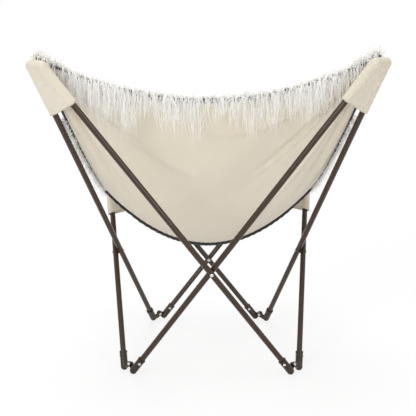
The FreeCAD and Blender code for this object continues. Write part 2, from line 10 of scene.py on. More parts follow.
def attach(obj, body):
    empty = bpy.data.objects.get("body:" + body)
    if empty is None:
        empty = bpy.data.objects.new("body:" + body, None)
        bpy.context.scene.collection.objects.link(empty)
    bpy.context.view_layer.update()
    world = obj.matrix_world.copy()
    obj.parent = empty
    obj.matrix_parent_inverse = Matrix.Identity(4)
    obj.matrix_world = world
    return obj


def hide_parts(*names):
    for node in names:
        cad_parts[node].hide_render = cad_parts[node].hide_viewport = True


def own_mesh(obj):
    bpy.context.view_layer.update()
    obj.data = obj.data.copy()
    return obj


bl_info = {
    "name": "Butterfly Chair",
    "version": (1, 0, 0),
    "blender": (4, 5, 0),
    "location": "View3D > Sidebar > Butterfly",
    "description": "Hangs a furred canvas sling on a folding tube frame and finishes the frame",
    "category": "Object",
}

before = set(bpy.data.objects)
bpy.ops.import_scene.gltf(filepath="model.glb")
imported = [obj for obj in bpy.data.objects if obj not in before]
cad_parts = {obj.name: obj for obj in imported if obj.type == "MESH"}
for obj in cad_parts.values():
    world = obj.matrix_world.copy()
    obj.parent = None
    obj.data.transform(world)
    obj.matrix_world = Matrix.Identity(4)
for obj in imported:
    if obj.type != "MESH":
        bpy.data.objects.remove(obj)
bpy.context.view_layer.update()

DOWN = np.array((0.0, 0.0, -1.0))

# Each top corner of the frame: the tubes that meet there, the side tube first.
CORNER_TUBES = {
    "rear_left": ("left_tube_inner", "rear_tube_outer"),
    "rear_right": ("right_tube_inner", "rear_tube_inner"),
    "front_left": ("left_tube_outer", "front_tube_inner"),
    "front_right": ("right_tube_outer", "front_tube_outer"),
}
# The leg that carries each quarter of the cover when the frame folds.
CORNER_LEGS = {
    "rear_left": "rear_outer_leg",
    "rear_right": "rear_inner_leg",
    "front_left": "left_outer_leg",
    "front_right": "right_outer_leg",
}
# The leg whose elbow slides in the front left pocket, and takes the pocket's lining with it.
LINED_LEG = "front_inner_leg"

# Share across, share along and rate of the creases that fan out from each corner of the cloth.
CORNER_FANS = ((0, 0, 9), (1, 0, 9), (0, 1, 7), (1, 1, 7))
# A crease is this sharp, deepest and gone at these distances from its corner, and fades over this length.
CREASE_SHARPNESS = 16
CREASE_PEAK = 0.2
CREASE_END = 0.5
CREASE_FADE = 0.22
# Width of the still rim, depth of the broad slack, and pitch and reach of the puckers at the seam.
CALM_RIM = 0.05
SLACK_DEPTH = 0.002
PUCKER_PITCH = 0.021
PUCKER_REACH = 0.022
# Points across and along a quarter of the canvas, of the pelt and of the cut that is measured.
BACK_GRID = (71, 97)
SEAT_GRID = (71, 67)
BACK_PELT_GRID = (51, 71)
SEAT_PELT_GRID = (51, 51)
CUT_GRID = (41, 41)
# Name of the map that holds each point's place on the flat cloth.
CLOTH_MAP = "cloth"

# Points along the end, side and seam tapes and round a bend, and the gap between tape and canvas.
END_POINTS = 90
SIDE_POINTS = 110
SEAM_POINTS = 140
BEND_POINTS = 7
TAPE_GAP = 0.0003
# Stitches on the tape: pitch, distance from its edge and half width of the row.
STITCH_PITCH = 0.0042
STITCH_INSET = 0.0025
STITCH_HALF = 0.0007

# Fur, mostly as least and most. A lock on the cloth: stand, share of the mean length, fall and width.
LOCK_STAND = (0.55, 0.9)
LOCK_SPREAD = (0.65, 1.25)
LOCK_FALL = (0.2, 0.4)
LOCK_WIDTHS = (0.7, 1.3)
# A strand over an edge: outward and upward aim, width and height of its root in the pelt.
STRAND_OUT = (0.55, 0.9)
STRAND_UP = (-0.55, 0.45)
STRAND_WIDTHS = (0.7, 1.35)
STRAND_ROOT = (0.3, 0.9)
# Throw and fall of the strands over each edge, in metres. At the top the fall is a share of the fringe's.
FRINGES = {
    "side": ((0.010, 0.026), (0.012, 0.034)),
    "front": ((0.014, 0.034), (0.02, 0.055)),
    "top": ((0.018, 0.042), (0.35, 1.0)),
}
# Spread of a clump, share of strands that stray from it, and share of the cloth over which roots lie.
CLUMP_SPREAD = 0.16
STRAY_SHARE = 0.3
ROOT_BAND = 0.02
# Part of a side edge that has a fringe, from the seam, and part of the top edge clear of the pockets.
REAR_SIDE_PART = 0.7
FRONT_SIDE_PART = 0.62
TOP_CLEAR_PART = 0.84
# A standing strand at a rear corner: patch of the roots across and along, throw, fall and width.
PLUME_PATCH = (0.16, 0.05)
PLUME_THROW = (0.45, 1.0)
PLUME_FALL = (0.05, 0.45)
PLUME_WIDTHS = (0.6, 1.0)
# First seed of the fur, one for each quarter in turn, and share of light that passes through a lock.
FUR_SEED = 410
FUR_LIGHT_THROUGH = 0.55

# Rings of a pocket's body and tip, points of a ring, and flatness of the ring's ends and sides.
BODY_RINGS = 26
TIP_RINGS = 9
RING_POINTS = 72
END_FLATNESS = 0.35
SIDE_FLATNESS = 0.6
# Half width where the canvas starts to dip, and the length over which the dip grows.
DIP_FROM = 0.02
DIP_OVER = 0.03
# Hem at the mouth, depth of the ripples, how far the slot narrows over the tip, and girth on the map.
POCKET_HEM = 0.001
POCKET_RIPPLES = 0.00035
TIP_NARROWING = 0.004
POCKET_GIRTH = 0.2
# Lining in the front left pocket: thickness, and how much shorter than the pocket.
LINING_SKIN = 0.0008
LINING_SHORTER = 0.004

# Studio: radii of the floor's rings and points of each, white, and light of the world.
FLOOR_RADII = (0.0, 2.0, 6.0, 14.0)
FLOOR_POINTS = 96
WHITE = (1.0, 1.0, 1.0, 1.0)
WORLD_LIGHT = 0.45
# Name, place, width and height, and watts of each lamp, and the point that they face.
LAMPS = (
    ("key_lamp", (1.8, 2.9, 1.7), (0.6, 2.8), 50.0),
    ("fill_lamp", (-2.3, 2.4, 1.6), (0.6, 2.8), 27.0),
    ("front_lamp", (0.4, -2.8, 2.6), (1.8, 1.8), 44.0),
    ("top_lamp", (0.2, 0.3, 3.3), (1.6, 1.6), 36.0),
)
LAMP_TARGET = (0.0, 0.0, 0.5)
# Camera: pitch, yaw and roll in radians, place in metres, sensor and lens in millimetres, and far limit.
CAMERA_TURN = (0.2164, 0.0092, -0.0071)
CAMERA_PLACE = (0.0268, 2.5288, 1.0063)
CAMERA_SENSOR = 36.0
CAMERA_LENS = 77.15
CAMERA_FAR = 60.0


def length_setting(label, description, default):
    """A length in metres that a user may change."""
    return bpy.props.FloatProperty(name=label, description=description, default=default, unit="LENGTH")


def share_setting(label, description, default):
    """A share of a whole that a user may change."""
    return bpy.props.FloatProperty(name=label, description=description, default=default, subtype="FACTOR")


def count_setting(label, description, default):
    """A count that a user may change."""
    return bpy.props.IntProperty(name=label, description=description, default=default)


def colour_setting(label, description, default):
    """A colour that a user may change."""
    return bpy.props.FloatVectorProperty(
        name=label, description=description, default=default, subtype="COLOR"
    )


class SlingShape(bpy.types.PropertyGroup):
    """Sizes of the sling between the four top corners."""

    lug_reach: length_setting("Lug reach", "From a hinge pin to the axis of each tube", 0.025)
    corner_rise: length_setting("Corner rise", "Height of the sling's corner above the hinge pin", 0.018)
    corner_shift: length_setting("Corner shift", "From the hinge pin towards the side tube", 0.014)
    corner_inset: length_setting("Corner inset", "From the sleeves' middle plane to the wall", 0.0126)
    corner_layers: length_setting("Corner layers", "Pocket wall, tape and gaps below the sling", 0.0033)
    rear_side_run: length_setting("Rear side run", "How far the side edge follows the side tube", 0.42)
    front_side_run: length_setting("Front side run", "How far the side edge follows the front tube", 0.30)
    rear_edge_forward: length_setting("Top edge forward", "Forward bow of the top edge", 0.09)
    rear_edge_sag: length_setting("Top edge sag", "Drop of the top edge's middle", 0.112)
    front_edge_back: length_setting("Front edge back", "Backward bow of the front edge", 0.032)
    front_edge_sag: length_setting("Front edge sag", "Drop of the front edge's middle", 0.128)
    belly_back: length_setting("Belly back", "Place of the belly's pole along the depth", -0.04)
    belly_height: length_setting("Belly height", "Height of the belly's pole", 0.07)
    seam_share: share_setting("Seam share", "Place of the seam between back and seat", 0.59)
    canvas_thickness: length_setting("Canvas thickness", "Thickness of the canvas", 0.0025)
    crease_depth: length_setting("Crease depth", "Depth of the creases that fan from the corners", 0.018)
    pucker_depth: length_setting("Pucker depth", "Depth of the puckers along the seam", 0.0005)
    tape_width: length_setting("Tape width", "Width of the binding tape's leaf", 0.011)
    tape_thickness: length_setting("Tape thickness", "Thickness of the binding tape", 0.0012)
    seam_fin: length_setting("Seam fin", "How far the bound seam stands out from the canvas", 0.009)
    folded_share: share_setting("Folded share", "Share of its width that a quarter keeps folded", 0.05)


class FurSizes(bpy.types.PropertyGroup):
    """Sizes of the long pile."""

    pelt_bottom: length_setting("Pelt bottom", "Height of the pelt's back above the canvas face", 0.0028)
    pelt_top: length_setting("Pelt top", "Height of the dense underfur", 0.0095)
    lock_length: length_setting("Lock length", "Mean length of a lock of fur", 0.055)
    lock_width: length_setting("Lock width", "Half width of a lock", 0.0019)
    strand_width: length_setting("Strand width", "Half width of a strand of the fringe", 0.0013)
    fringe_fall: length_setting("Fringe fall", "How far the fur falls over the top edge", 0.098)
    plume_height: length_setting("Plume height", "How far the fur stands up at a rear corner", 0.042)
    rear_locks: count_setting("Rear locks", "Locks on a rear quarter", 21000)
    front_locks: count_setting("Front locks", "Locks on a front quarter", 13000)
    top_fringe: count_setting("Top fringe", "Strands over the top edge of a quarter", 1700)
    front_fringe: count_setting("Front fringe", "Strands over the front edge of a quarter", 2400)
    side_fringe: count_setting("Side fringe", "Strands over the side edge of a quarter", 1500)
    clumps: count_setting("Clumps", "Clumps of strands along an edge of a quarter", 17)
    plume: count_setting("Plume", "Strands that stand up at a rear corner", 420)


class PocketSizes(bpy.types.PropertyGroup):
    """Sizes of the pockets over the top corners."""

    wall: length_setting("Wall", "Thickness of the pocket's canvas", 0.0015)
    rear_length: length_setting("Rear length", "From the hinge pin to a rear pocket's mouth", 0.15)
    front_length: length_setting("Front length", "From the hinge pin to a front pocket's mouth", 0.19)
    rear_slant: length_setting("Rear slant", "How much shorter a rear pocket is at the rear tube", 0.05)
    tip_rise: length_setting("Tip rise", "Height of the tip above the elbows", 0.0155)
    slack: length_setting("Slack", "How far the canvas dips between the two sleeves", 0.0035)


class FinishColours(bpy.types.PropertyGroup):
    """Colours of the finishes."""

    canvas: colour_setting("Canvas", "Cream cotton canvas", (0.735, 0.672, 0.553))
    canvas_shade: colour_setting("Canvas shade", "Canvas where it is handled", (0.66, 0.592, 0.474))
    fur_tip: colour_setting("Fur tip", "Ends of the fur", (0.97, 0.967, 0.96))
    fur_root: colour_setting("Fur root", "Roots of the fur", (0.91, 0.9, 0.88))
    tape: colour_setting("Tape", "Binding tape", (0.016, 0.015, 0.015))
    tube: colour_setting("Tube", "Bronze lacquer on the tubes", (0.043, 0.026, 0.0155))
    fitting: colour_setting("Fitting", "Bronze coat on the elbows", (0.034, 0.0225, 0.015))
    steel: colour_setting("Steel", "Bright rivets and pins", (0.66, 0.65, 0.63))
    floor: colour_setting("Floor", "Floor of the studio", (0.92, 0.92, 0.92))


def unit(vectors):
    """Vectors divided by their own length."""
    vectors = np.asarray(vectors, float)
    return vectors / np.linalg.norm(vectors, axis=-1, keepdims=True)


def dot(first, second):
    """Inner product of each pair of vectors, kept as a column."""
    return (first * second).sum(axis=-1, keepdims=True)


def tube_line(name):
    """A point on a tube's axis and the direction down it: its points' middle and longest spread."""
    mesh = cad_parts[name].data
    points = np.empty(len(mesh.vertices) * 3, np.float32)
    mesh.vertices.foreach_get("co", points)
    points = points.reshape(-1, 3).astype(float)
    middle = points.mean(axis=0)
    run = np.linalg.svd(points - middle, full_matrices=False)[2][0]
    return middle, run * -np.sign(run[2])


class TopCorner:
    """Where two tubes meet: their axes cross, and the pin stands below that point by the lug's reach."""

    def __init__(self, name, shape):
        (start, first), (other, second) = [tube_line(tube) for tube in CORNER_TUBES[name]]
        runs = np.stack((first, -second), axis=1)
        along, beyond = np.linalg.lstsq(runs, other - start, rcond=None)[0]
        meeting = (start + first * along + other + second * beyond) / 2
        half = math.acos(float(first @ second)) / 2
        self.run = first
        self.tangent = math.tan(half)
        self.sine = math.sin(half)
        self.lean = math.cos(half)
        self.down = unit(first + second)
        self.pin = meeting + self.down * shape.lug_reach / self.sine
        normal = unit(np.cross(first, second))
        self.outward = normal * np.sign(normal[:2] @ self.pin[:2])
        self.aside = unit(first - self.down * (first @ self.down))


def ridge(turn):
    """A row of narrow ridges: a raised cosine to a high power."""
    return ((1 + np.cos(turn)) / 2) ** CREASE_SHARPNESS


def smooth_step(share):
    """Smooth rise from 0 to 1: three squares less two cubes."""
    share = np.clip(share, 0, 1)
    return share * share * (3 - 2 * share)


class Sling:
    """Cloth surface: a Bezier patch, quadratic from right to left and cubic from the top edge forward.

    A point is the sum of twelve poles, each times its share across and its share along, moved along the
    surface normal by the layer's lift and the depth of the creases there."""

    def __init__(self, shape):
        self.shape = shape
        self.corners = {name: TopCorner(name, shape) for name in CORNER_TUBES}
        left = self.side_poles("left")
        right = self.side_poles("right")
        belly = np.array((0.0, shape.belly_back, shape.belly_height))
        rear_bow = np.array((0.0, shape.rear_edge_forward, shape.rear_edge_sag))
        front_bow = np.array((0.0, shape.front_edge_back, -shape.front_edge_sag))
        rear = self.middle(left[0], right[0]) - rear_bow
        front = self.middle(left[3], right[3]) + front_bow
        centre = np.stack((rear, (rear + belly * 2) / 3, (front + belly * 2) / 3, front))
        self.poles = np.stack((right, centre * 2 - (left + right) / 2, left), axis=1)
        self.width = np.linalg.norm(left[0] - right[0])
        self.length = np.linalg.norm(np.diff(centre, axis=0), axis=1).sum()

    def middle(self, left, right):
        """Point halfway between two corners, on the chair's middle plane."""
        return (left + right) / 2 * np.array((0.0, 1.0, 1.0))

    def corner_point(self, name):
        """The sling's corner: above the pin, towards the side tube, against the pocket's inner side."""
        corner = self.corners[name]
        shape = self.shape
        inset = shape.corner_inset / corner.lean + shape.corner_layers
        point = corner.pin - corner.down * shape.corner_rise + corner.aside * shape.corner_shift
        return point - corner.outward * inset

    def side_poles(self, side):
        """Four poles of a side edge, which leaves each corner along the tube there."""
        rear = self.corner_point("rear_" + side)
        front = self.corner_point("front_" + side)
        rear_run = self.corners["rear_" + side].run * self.shape.rear_side_run
        front_run = self.corners["front_" + side].run * self.shape.front_side_run
        return np.stack((rear, rear + rear_run, front + front_run, front))

    def smooth(self, across, along):
        """Point, direction across, direction along and sitter's side normal of the patch."""
        over = 1 - across
        back = 1 - along
        wide = np.stack((over ** 2, 2 * over * across, across ** 2), axis=-1)
        wide_slope = np.stack((-2 * over, 2 * over - 2 * across, 2 * across), axis=-1)
        deep = np.stack((back ** 3, 3 * back ** 2 * along, 3 * back * along ** 2, along ** 3), axis=-1)
        deep_slope = np.stack((
            -3 * back ** 2,
            3 * back ** 2 - 6 * back * along,
            6 * back * along - 3 * along ** 2,
            3 * along ** 2,
        ), axis=-1)
        point = np.einsum("...a,...b,bac->...c", wide, deep, self.poles)
        sideways = np.einsum("...a,...b,bac->...c", wide_slope, deep, self.poles)
        forward = np.einsum("...a,...b,bac->...c", wide, deep_slope, self.poles)
        return point, unit(sideways), unit(forward), unit(np.cross(forward, sideways))

    def creases(self, across, along):
        """Depth of the cloth's creases, which are ridges that fan out from each corner.

        They are deepest a hand's width away and fade before the middle, which hangs smooth. Puckers are
        a short wave along the seam that dies away on both sides of it. Nothing moves the rim."""
        depth = np.zeros_like(across)
        for turn, (edge, end, waves) in enumerate(CORNER_FANS):
            wide = np.abs(across - edge) * self.width
            deep = np.abs(along - end) * self.length
            reach = np.hypot(wide, deep)
            angle = np.arctan2(deep, wide + 1e-9)
            fan = ridge(waves * angle + 0.9 * turn + 2 * reach)
            fan = fan - 0.7 * ridge(waves * 1.7 * angle + 2.1 * turn + 9 * reach)
            swell = (reach / CREASE_PEAK) * np.exp(1 - reach / CREASE_PEAK)
            depth = depth + fan * swell * smooth_step((CREASE_END - reach) / CREASE_FADE)
        slack = np.sin(2.3 * across * math.pi + 0.6) * np.sin(3.1 * along * math.pi + 0.4)
        from_side = np.minimum(across, 1 - across) * self.width
        from_end = np.minimum(along, 1 - along) * self.length
        calm = smooth_step(np.minimum(from_side, from_end) / CALM_RIM)
        away = np.abs(along - self.shape.seam_share) * self.length
        pucker = np.cos(across * self.width / PUCKER_PITCH * 2 * math.pi + 3 * np.sin(11 * across))
        pucker = pucker * np.exp(-away / PUCKER_REACH) * self.shape.pucker_depth
        return (depth * self.shape.crease_depth * 0.5 + slack * SLACK_DEPTH + pucker) * calm

    def place(self, across, along, lift=0.0):
        """Point on a layer of the cloth, creases included."""
        point, _, _, normal = self.smooth(across, along)
        return point + normal * (np.asarray(lift) + self.creases(across, along))[..., None]

    def normals(self, across, along):
        """Normals of the creased cloth, from the differences of close neighbours."""
        step = 0.002
        sideways = self.place(across + step, along) - self.place(across - step, along)
        forward = self.place(across, along + step) - self.place(across, along - step)
        return unit(np.cross(forward, sideways))

    def quarter(self, name):
        """Ranges across and along of the quarter that hangs from a corner."""
        seam = self.shape.seam_share
        across = (0.5, 1.0) if name.endswith("left") else (0.5, 0.0)
        along = (seam, 0.0) if name.startswith("rear") else (seam, 1.0)
        return across, along

    def grid(self, name, counts):
        """Shares across and along over a quarter, from the middle of the cloth to its corner."""
        (inner, outer), (start, end) = self.quarter(name)
        across = np.linspace(inner, outer, counts[0])
        along = np.linspace(start, end, counts[1])
        return np.meshgrid(across, along, indexing="ij")


def make_object(name, points, faces, smooth=True):
    """A new piece at the origin from arrays of points and of faces of one size."""
    mesh = bpy.data.meshes.new(name)
    points = np.ascontiguousarray(points, np.float32).reshape(-1, 3)
    faces = np.ascontiguousarray(faces, np.int32)
    mesh.vertices.add(len(points))
    mesh.vertices.foreach_set("co", points.ravel())
    mesh.loops.add(faces.size)
    mesh.loops.foreach_set("vertex_index", faces.ravel())
    mesh.polygons.add(len(faces))
    mesh.polygons.foreach_set("loop_start", np.arange(0, faces.size, faces.shape[1], dtype=np.int32))
    mesh.update(calc_edges=True)
    mesh.validate()
    mesh.polygons.foreach_set("use_smooth", np.full(len(mesh.polygons), smooth))
    piece = bpy.data.objects.new(name, mesh)
    bpy.context.collection.objects.link(piece)
    return piece


def set_map(piece, coordinates):
    """The piece's map of the cloth, from one pair of coordinates to each point."""
    mesh = piece.data
    corner = np.empty(len(mesh.loops), np.int32)
    mesh.loops.foreach_get("vertex_index", corner)
    flat = np.ascontiguousarray(coordinates, np.float32).reshape(-1, 2)
    made = mesh.uv_layers.new(name=CLOTH_MAP)
    made.uv.foreach_set("vector", flat[corner].ravel())


def grid_faces(rows, columns, first=0, closed=False):
    """Four-sided faces between neighbouring rows and columns of a grid of points."""
    index = first + np.arange(rows * columns).reshape(rows, columns)
    if closed:
        index = np.concatenate((index, index[:, :1]), axis=1)
    corners = (index[:-1, :-1], index[1:, :-1], index[1:, 1:], index[:-1, 1:])
    return np.stack(corners, axis=-1).reshape(-1, 4)


def rim_path(rows, columns):
    """Numbers of a grid's points once round its rim."""
    index = np.arange(rows * columns).reshape(rows, columns)
    return np.concatenate((index[0, :-1], index[:-1, -1], index[-1, :0:-1], index[:0:-1, 0]))


def cloth_slab(name, sling, quarter, lifts, counts):
    """A quarter of a layer of the cloth: two grids at the two lifts, joined round the rim."""
    across, along = sling.grid(quarter, counts)
    normals = sling.normals(across, along)
    lower, upper = [sling.place(across, along, lift) for lift in lifts]
    size = across.size
    faces = grid_faces(*counts)
    rim = rim_path(*counts)
    following = np.roll(rim, -1)
    band = np.stack((rim, following, following + size, rim + size), axis=-1)
    if quarter.endswith("left") == quarter.startswith("rear"):
        faces = faces[:, ::-1]
        band = band[:, ::-1]
    everything = np.concatenate((faces, faces[:, ::-1] + size, band))
    piece = make_object(name, np.concatenate((lower.reshape(-1, 3), upper.reshape(-1, 3))), everything)
    outward = np.concatenate((-normals.reshape(-1, 3), normals.reshape(-1, 3)))
    piece.data.normals_split_custom_set_from_vertices(outward.tolist())
    flat = np.stack((across * sling.width, along * sling.length), axis=-1).reshape(-1, 2)
    set_map(piece, np.concatenate((flat, flat)))
    return piece


def area_of(points):
    """Area of a grid of points: half the cross product of each cell's diagonals."""
    first = points[1:, 1:] - points[:-1, :-1]
    second = points[1:, :-1] - points[:-1, 1:]
    return float(np.linalg.norm(np.cross(first, second), axis=-1).sum() / 2)


def cut_of(sling, quarter):
    """Flat width, length and area of a quarter's cut, measured over the smooth patch."""
    across, along = sling.grid(quarter, CUT_GRID)
    points = sling.smooth(across, along)[0]
    wide = np.linalg.norm(np.diff(points, axis=0), axis=-1).sum(axis=0).max()
    deep = np.linalg.norm(np.diff(points, axis=1), axis=-1).sum(axis=1).max()
    return (float(wide), float(deep)), min(area_of(points), float(wide * deep))


def hang(piece, sling, quarter):
    """The quarter rides on its leg: it hangs from the leg's body, with a mesh of its own."""
    (inner, outer), (start, end) = sling.quarter(quarter)
    middle = np.array((inner + outer, start + end)) / 2
    normal = sling.smooth(*middle)[3]
    far = sling.smooth(np.array(inner), np.array(start))[0]
    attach(piece, CORNER_LEGS[quarter])
    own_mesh(piece)


def rim_profile(width, low, high, skin):
    """Profile of a tape folded round a rim: distance in from the rim, and lift, once round the tape."""
    turn = np.linspace(-0.5, 0.5, BEND_POINTS) * math.pi
    mean = (low + high) / 2
    radius = (high - low) / 2
    bend = np.stack((-skin * np.cos(turn), mean + radius * np.sin(turn)), axis=-1)
    upper = ((width, high), (width, high - skin), (0.0, high - skin))
    lower = ((0.0, low + skin), (width, low + skin))
    return np.concatenate((((width, low),), bend, upper, lower))


def fin_profile(half, depth):
    """Profile of a bound seam: a thin fin with a rounded rim that stands out from the outer face."""
    turn = np.linspace(0, 1, BEND_POINTS) * math.pi
    bend = np.stack((half * np.cos(turn), half - depth - half * np.sin(turn)), axis=-1)
    return np.concatenate((((half, 0.0),), bend, ((-half, 0.0),)))


def tape_strip(path, inward, normal, profile):
    """A tape: a closed profile carried along a path, each point moved inward and along the normal."""
    moved = inward[:, None] * profile[None, :, :1] + normal[:, None] * profile[None, :, 1:]
    points = path[:, None] + moved
    faces = grid_faces(len(path), len(profile), closed=True)
    run = np.concatenate(((0.0,), np.linalg.norm(np.diff(path, axis=0), axis=1).cumsum()))
    girth = np.concatenate(((0.0,), np.linalg.norm(np.diff(profile, axis=0), axis=1).cumsum()))
    flat = np.stack(np.meshgrid(run, girth, indexing="ij"), axis=-1)
    return points.reshape(-1, 3), faces, flat.reshape(-1, 2)


def join_strips(name, strips, smooth=True):
    """One piece from several strips of points, faces and map coordinates."""
    starts = np.cumsum([0] + [len(strip[0]) for strip in strips[:-1]])
    points = np.concatenate([strip[0] for strip in strips])
    faces = np.concatenate([strip[1] + start for strip, start in zip(strips, starts)])
    piece = make_object(name, points, faces, smooth)
    set_map(piece, np.concatenate([strip[2] for strip in strips]))
    return piece


def fix_faces(piece, fill=False):
    """Merges touching points, closes open ends where asked, and turns all faces outwards."""
    work = bmesh.new()
    work.from_mesh(piece.data)
    bmesh.ops.remove_doubles(work, verts=work.verts, dist=1e-6)
    if fill:
        bmesh.ops.holes_fill(work, edges=[edge for edge in work.edges if edge.is_boundary])
    bmesh.ops.recalc_face_normals(work, faces=work.faces)
    if work.calc_volume(signed=True) < 0:
        bmesh.ops.reverse_faces(work, faces=work.faces)
    work.to_mesh(piece.data)
    work.free()
    piece.data.update()


def sewn_tape(sling, across, along, count, towards, profile):
    """A tape along a line of the cloth, whose inward side is a share of the ways across and along."""
    across = np.linspace(*across, count)
    along = np.linspace(*along, count)
    _, sideways, forward, normal = sling.smooth(across, along)
    inward = sideways * towards[0] + forward * towards[1]
    return tape_strip(sling.place(across, along), inward, normal, profile)


def fur_locks(roots, aims, facing, throws, falls, widths, random):
    """Locks of fur: flat ribbons that taper, curl and bend down.

    A lock's axis leaves its root along its aim and slows to a stop at its throw, falls with the square
    of the way along, and swings sideways by a half sine. Four pairs of points and a tip follow that axis,
    spread to the two sides square to the way the lock faces."""
    count = len(roots)
    steps = np.array((0.0, 0.3, 0.6, 0.85, 1.0))
    girth = np.array((0.7, 1.0, 0.8, 0.45, 0.0))
    side = unit(np.cross(aims, facing + random.normal(scale=0.25, size=(count, 3))))
    swing = random.normal(scale=0.1, size=count)[:, None, None]
    way = steps[None, :, None]
    throws = throws[:, None, None]
    falls = falls[:, None, None]
    axis = roots[:, None] + aims[:, None] * throws * (2 * way - way ** 2) + DOWN * falls * way ** 2
    axis = axis + side[:, None] * np.sin(way * math.pi * 0.9) * (throws + falls) * swing
    half = side[:, None] * (widths[:, None] * girth[None])[..., None]
    pairs = np.stack((axis - half, axis + half), axis=2)[:, :4].reshape(count, 8, 3)
    points = np.concatenate((pairs, axis[:, 4:]), axis=1)
    pattern = np.array(((0, 1, 3), (0, 3, 2), (2, 3, 5), (2, 5, 4), (4, 5, 7), (4, 7, 6), (6, 7, 8)))
    faces = (pattern[None] + 9 * np.arange(count)[:, None, None]).reshape(-1, 3)
    share = np.concatenate((np.repeat(steps[:4], 2), steps[4:]))
    flat = np.stack(np.broadcast_arrays(random.random(count)[:, None], share[None]), axis=-1)
    return points.reshape(-1, 3), faces, flat.reshape(-1, 2)


def some(random, count, low, high):
    """Evenly spread random numbers between two values."""
    return low + (high - low) * random.random(count)


def field_fur(sling, fur, quarter, random):
    """Locks all over a quarter, which stand off the cloth, lie down its slope and never fall into it."""
    (inner, outer), (start, end) = sling.quarter(quarter)
    count = fur.rear_locks if quarter.startswith("rear") else fur.front_locks
    across = some(random, count, inner, outer)
    along = some(random, count, start, end)
    _, sideways, forward, normal = sling.smooth(across, along)
    slope = DOWN - normal * dot(normal, DOWN[None])
    flow = slope * 1.1 + forward * 0.3 + sideways * random.normal(scale=0.35, size=(count, 1))
    flow = flow + forward * random.normal(scale=0.3, size=(count, 1))
    aims = unit(normal * some(random, (count, 1), *LOCK_STAND) + flow * 0.85)
    lengths = fur.lock_length * some(random, count, *LOCK_SPREAD)
    throws = lengths * 0.8
    stand = throws * dot(aims, normal)[:, 0]
    room = 0.7 * stand / np.maximum(normal[:, 2], 0.05)
    falls = np.minimum(lengths * some(random, count, *LOCK_FALL), room)
    widths = fur.lock_width * some(random, count, *LOCK_WIDTHS)
    roots = sling.place(across, along, fur.pelt_top * 0.8)
    return fur_locks(roots, aims, normal, throws, falls, widths, random)


def edge_fur(sling, fur, quarter, edge, random):
    """Strands over one edge of a quarter: thrown over the rim to both faces, then hanging."""
    (inner, outer), (start, end) = sling.quarter(quarter)
    side = edge == "side"
    count = getattr(fur, edge + "_fringe")
    clumps = random.integers(0, fur.clumps, count)
    tangle = random.normal(scale=CLUMP_SPREAD, size=count)
    tangle = tangle + random.random(count) * (random.random(count) < STRAY_SHARE)
    spread = np.clip((clumps + 0.5 + tangle) / fur.clumps, 0, 1)
    thick = random.random(fur.clumps)[clumps]
    depth = random.random(count) ** 1.5 * ROOT_BAND
    if side:
        spread = spread * (REAR_SIDE_PART if quarter.startswith("rear") else FRONT_SIDE_PART)
        across = outer + (inner - outer) * depth * 1.5
        along = start + (end - start) * spread
    else:
        across = inner + (outer - inner) * spread
        along = end + (start - end) * depth
    _, sideways, forward, normal = sling.smooth(across, along)
    outwards = sideways * np.sign(outer - inner) if side else forward * np.sign(end - start)
    beside = forward if side else sideways
    over = some(random, (count, 1), *STRAND_UP)
    if edge == "top":
        over = np.where(spread[:, None] > TOP_CLEAR_PART, np.abs(over), over)
    aims = outwards * some(random, (count, 1), *STRAND_OUT) + normal * over
    aims = unit(aims + beside * random.normal(scale=0.3, size=(count, 1)))
    throws, falls = [some(random, count, *limits) for limits in FRINGES[edge]]
    if edge == "top":
        falls = fur.fringe_fall * falls ** 1.3 * (0.55 + 0.95 * thick)
    widths = fur.strand_width * some(random, count, *STRAND_WIDTHS)
    roots = sling.place(across, along, some(random, count, *STRAND_ROOT) * fur.pelt_top)
    behind = unit(outwards - normal * np.sign(0.05 - over) * 0.8)
    return fur_locks(roots, aims, behind, throws, falls, widths, random)


def plume_fur(sling, fur, quarter, random):
    """Strands that stand up and out round a rear corner."""
    (inner, outer), (start, end) = sling.quarter(quarter)
    count = fur.plume
    across = outer + (inner - outer) * random.random(count) ** 2 * PLUME_PATCH[0]
    along = end + (start - end) * random.random(count) ** 2 * PLUME_PATCH[1]
    _, _, forward, normal = sling.smooth(across, along)
    aims = random.normal(scale=0.42, size=(count, 3)) - DOWN * 0.8 + normal * 0.35 - forward * 0.2
    throws = fur.plume_height * some(random, count, *PLUME_THROW)
    falls = throws * some(random, count, *PLUME_FALL)
    widths = fur.strand_width * some(random, count, *PLUME_WIDTHS)
    roots = sling.place(across, along, fur.pelt_top)
    return fur_locks(roots, unit(aims), unit(normal - forward), throws, falls, widths, random)


